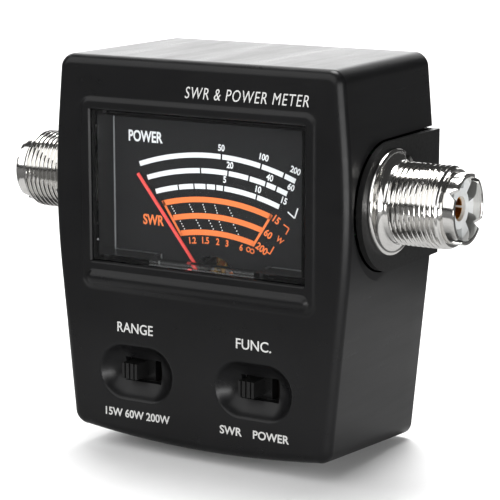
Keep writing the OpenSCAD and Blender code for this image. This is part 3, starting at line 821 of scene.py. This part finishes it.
# Scale arcs: their centre, and for each its radius, end angles and the angles of its gaps.
ARC_CENTRE = (0.0, AXIS_Z - 43.25)
POWER_ARCS = [
    (50.75, -19.5, 21.3, (2.3, 12.4, 18.3)),
    (47.7, -18.5, 20.4, (-3.3, 4.2, 9.9, 14.5, 17.4)),
    (44.6, -17.2, 19.5, (-10.2, -5.5, -1.9, 0.9, 3.2, 12.8)),
]
POWER_NUMBERS = [
    ("50", 2.2, 52.5), ("100", 12.7, 52.65), ("200", 20.5, 52.7),
    ("20", 4.6, 49.4), ("40", 15.1, 49.25), ("60", 20.8, 49.3),
    ("5", 3.4, 46.4), ("10", 12.9, 46.2), ("15", 20.3, 46.2),
]
SWR_ARCS = [(42.0, -15.9, 18.2), (38.75, -13.6, 16.5), (35.5, -11.9, 15.0)]
SWR_NUMBERS = [("1.2", -7.9), ("1.5", -2.8), ("2", 1.9), ("3", 5.5), ("6", 11.0)]
SWR_DOTS = [(-13.4, -12.6, -11.4, -10.4), (-7.5, -6.6, -5.7, -4.4), (-3.1, -2.4, -1.3, 0.2),
            (0.7, 1.5, 2.3, 3.4), (5.0, 6.5, 7.2, 9.2)]
SWR_POWERS = [("15", 20.0, 42.0, 34), ("60", 18.9, 38.6, 34), ("200", 18.3, 35.3, 32)]


def on_arc(r, angle):
    """Place on the dial at a radius and an angle from vertical, in degrees."""
    a = math.radians(angle)
    return ARC_CENTRE[0] + r * math.sin(a), ARC_CENTRE[1] + r * math.cos(a)


def dial_white():
    """Power scales, their numbers and the dotted marks between the SWR arcs."""
    ink = Print()
    gap = 0.22
    for r, start, end, gaps in POWER_ARCS:
        edges = [start - gap, *gaps, end + gap]
        for a, b in zip(edges, edges[1:]):
            ink.band(ARC_CENTRE, r, 1.0, a + gap, b - gap)
    for text, angle, r in POWER_NUMBERS:
        ink.words(text, *on_arc(r, angle), 1.32, turn=angle * 0.9, weight=0.27)
    ink.words("POWER", -15.5, AXIS_Z + 10.15, 2.3, 8.0, weight=0.26)
    corner, tip_a, tip_b = (18.3, AXIS_Z - 3.1), (16.8, AXIS_Z - 2.0), (19.0, AXIS_Z - 1.1)
    ink.line(corner, tip_a, 0.28)
    ink.line(corner, tip_b, 0.28)
    for tops in SWR_DOTS:
        for r_from, r_to, a_from, a_to in ((41.0, 39.6, *tops[:2]), (37.9, 36.3, *tops[2:])):
            for i in range(4):
                x, z = on_arc(mix(r_from, r_to, i / 3), mix(a_from, a_to, i / 3))
                ink.dot(x, z, 0.13)
    ink.done("dial_white_print", DIAL_FRONT, "dial_print", "dial_white")


def dial_orange():
    """SWR scales, their numbers and the power ranges beside them."""
    ink = Print()
    for r, start, end in SWR_ARCS:
        ink.band(ARC_CENTRE, r, 1.1, start, end)
    for side in (1, 2):
        ink.line(on_arc(SWR_ARCS[0][0] + 0.5, SWR_ARCS[0][side]),
                 on_arc(SWR_ARCS[2][0] - 0.5, SWR_ARCS[2][side]), 0.5)
    for text, angle in SWR_NUMBERS:
        ink.words(text, *on_arc(33.9, angle), 1.35, turn=angle * 0.9, weight=0.26)
    x, z = on_arc(34.0, 14.5)
    for s in (-1, 1):
        ring = [(x + s * 0.42 + 0.42 * math.cos(a), z - s * 0.12 + 0.42 * math.sin(a))
                for a in (2 * math.pi * i / 20 for i in range(21))]
        for a, b in zip(ring, ring[1:]):
            ink.line(a, b, 0.24)
    for text, angle, r, turn in SWR_POWERS:
        ink.words(text, *on_arc(r, angle), 1.55, turn=turn, weight=0.26)
    ink.words("W", *on_arc(38.65, 23.0), 1.2, turn=34, weight=0.2)
    for hook in (((15.9, -4.5), (17.1, -5.2), (16.4, -6.4)), ((13.8, -9.1), (12.9, -10.6), (12.2, -10.2))):
        points = [(x, AXIS_Z + z) for x, z in hook]
        for a, b in zip(points, points[1:]):
            ink.line(a, b, 0.26)
    ink.words("SWR", -13.8, AXIS_Z - 6.45, 2.15, 4.9, weight=0.26)
    ink.done("dial_orange_print", DIAL_FRONT, "dial_print", "dial_orange")


def case_legends():
    """Lettering on the front of the case."""
    ink = Print()
    ink.words("SWR & POWER METER", 11.6, AXIS_Z + 20.45, 2.25, 27.0, slant=0.2, weight=-0.02,
              spacing=1.14)
    ink.words("RANGE", -14.1, AXIS_Z - 27.35, 2.05, 8.4, weight=0.08)
    ink.words("FUNC.", 13.1, AXIS_Z - 27.3, 2.05, 7.8, weight=0.08)
    ink.words("15W 60W 200W", -13.75, AXIS_Z - 45.05, 1.7, 15.3, weight=0.18)
    ink.words("SWR", 8.0, AXIS_Z - 45.0, 1.7, 5.0, weight=0.18)
    ink.words("POWER", 17.0, AXIS_Z - 45.0, 1.7, 8.0, weight=0.18)
    ink.done("case_legends", FRONT, "case_plastic", "legend_white")


dial_white()
dial_orange()
case_legends()


# ---- Softer edges on the CAD nodes ----

def soften(node, width):
    """Rounds the edges of a CAD node by a modifier."""
    bevel = frame["nodes"][node].modifiers.new("edges", "BEVEL")
    bevel.width = width * MM
    bevel.segments = 2
    bevel.limit_method = "ANGLE"
    bevel.angle_limit = math.radians(40)
    bevel.harden_normals = True


for node, width in (("rear_chassis", 0.2), ("rear_screws", 0.12), ("rubber_feet", 0.3),
                    ("meter_cover", 0.25), ("dial_plate", 0.08), ("range_slider", 0.18),
                    ("func_slider", 0.18), ("connector_insulator_left", 0.12),
                    ("connector_insulator_right", 0.12), ("center_contact_left", 0.08),
                    ("center_contact_right", 0.08), ("pointer", 0.06), ("front_bridge", 0.15)):
    soften(node, width)


# ---- Floor and light ----

NEAR_FLAG_R, FAR_FLAG_R, FLAG_Z = 0.135, 6, 0.0003


def plain_mesh(name, bm, look):
    """Object for the set, drawn in metres."""
    mesh = bpy.data.meshes.new(name)
    bm.to_mesh(mesh)
    bm.free()
    mesh.materials.append(look)
    obj = bpy.data.objects.new(name, mesh)
    SCENE.collection.objects.link(obj)
    return obj


def glossy_disc(name, near, far, shade):
    """Grey ring on the floor that only mirror-like surfaces see, as black flags do in a studio."""
    bm = bmesh.new()
    angles = [2 * math.pi * i / 72 for i in range(72)]
    inner, outer = (loop_at(bm, [(r * math.cos(a), r * math.sin(a), FLAG_Z) for a in angles])
                    for r in (near, far))
    bridge(bm, inner, outer)
    disc = plain_mesh(name, bm, surface(name, (shade, shade, shade), 0.7, grain=400, bump=0.0))
    disc.visible_camera = False
    disc.visible_diffuse = False
    disc.visible_shadow = False
    return disc


def make_floor():
    """White floor, with its two flags."""
    bm = bmesh.new()
    bmesh.ops.create_grid(bm, x_segments=1, y_segments=1, size=12)
    look = surface("floor", (0.88, 0.88, 0.88), 0.6, vary=0.01, grain=400, bump=0.0)
    plain_mesh("floor", bm, look)
    glossy_disc("near_flag", 0.002, NEAR_FLAG_R, 0.42)
    glossy_disc("far_flag", NEAR_FLAG_R, FAR_FLAG_R, 0.05)


def softbox(name, place, aim, size, glow):
    """Rectangular area light; place, aim and size are in metres, glow is its brightness (white is 1)."""
    data = bpy.data.lights.new(name, "AREA")
    data.shape = "RECTANGLE"
    data.size, data.size_y = size
    data.energy = glow * math.pi * size[0] * size[1]
    light = bpy.data.objects.new(name, data)
    light.location = place
    light.rotation_euler = (Vector(place) - Vector(aim)).to_track_quat("Z", "Y").to_euler()
    light.visible_camera = False
    SCENE.collection.objects.link(light)


def make_world():
    """Dim surroundings, with a white backdrop for the camera only."""
    world = bpy.data.worlds.new("world")
    world.use_nodes = True
    tree = world.node_tree
    dim = tree.nodes["Background"]
    dim.inputs["Color"].default_value = (1, 1, 1, 1)
    dim.inputs["Strength"].default_value = 0.05
    backdrop = add(tree, "ShaderNodeBackground")
    backdrop.inputs["Color"].default_value = (1, 1, 1, 1)
    camera_ray = add(tree, "ShaderNodeLightPath").outputs["Is Camera Ray"]
    chosen = mix_shaders(tree, camera_ray, dim.outputs[0], backdrop.outputs[0])
    tree.links.new(chosen, tree.nodes["World Output"].inputs["Surface"])
    SCENE.world = world


def make_sun():
    """Wide overhead light that keeps the whole floor white."""
    data = bpy.data.lights.new("overhead", "SUN")
    data.energy = 3.75
    data.angle = math.radians(35)
    sun = bpy.data.objects.new("overhead", data)
    sun.rotation_euler = Vector((-0.12, 0.3, 0.93)).to_track_quat("Z", "Y").to_euler()
    SCENE.collection.objects.link(sun)


make_floor()
make_world()
make_sun()
softbox("front", (-0.42, -0.98, 0.85), (0, 0, 0.04), (2.1, 1.4), 2.2)
softbox("back", (-0.7, 1.15, 0.33), (0, 0, 0.06), (1.6, 0.66), 2.4)
softbox("top", (-0.69, 0.69, 0.79), (0, 0, 0.05), (1.1, 0.5), 2.2)
softbox("right", (1.05, -0.6, 0.24), (0, 0, 0.05), (1.3, 0.5), 3.2)
softbox("edge", (0.2, -0.135, 0.032), (0.03, -0.018, 0.045), (0.24, 0.055), 8)
SCENE.view_settings.view_transform = "Standard"
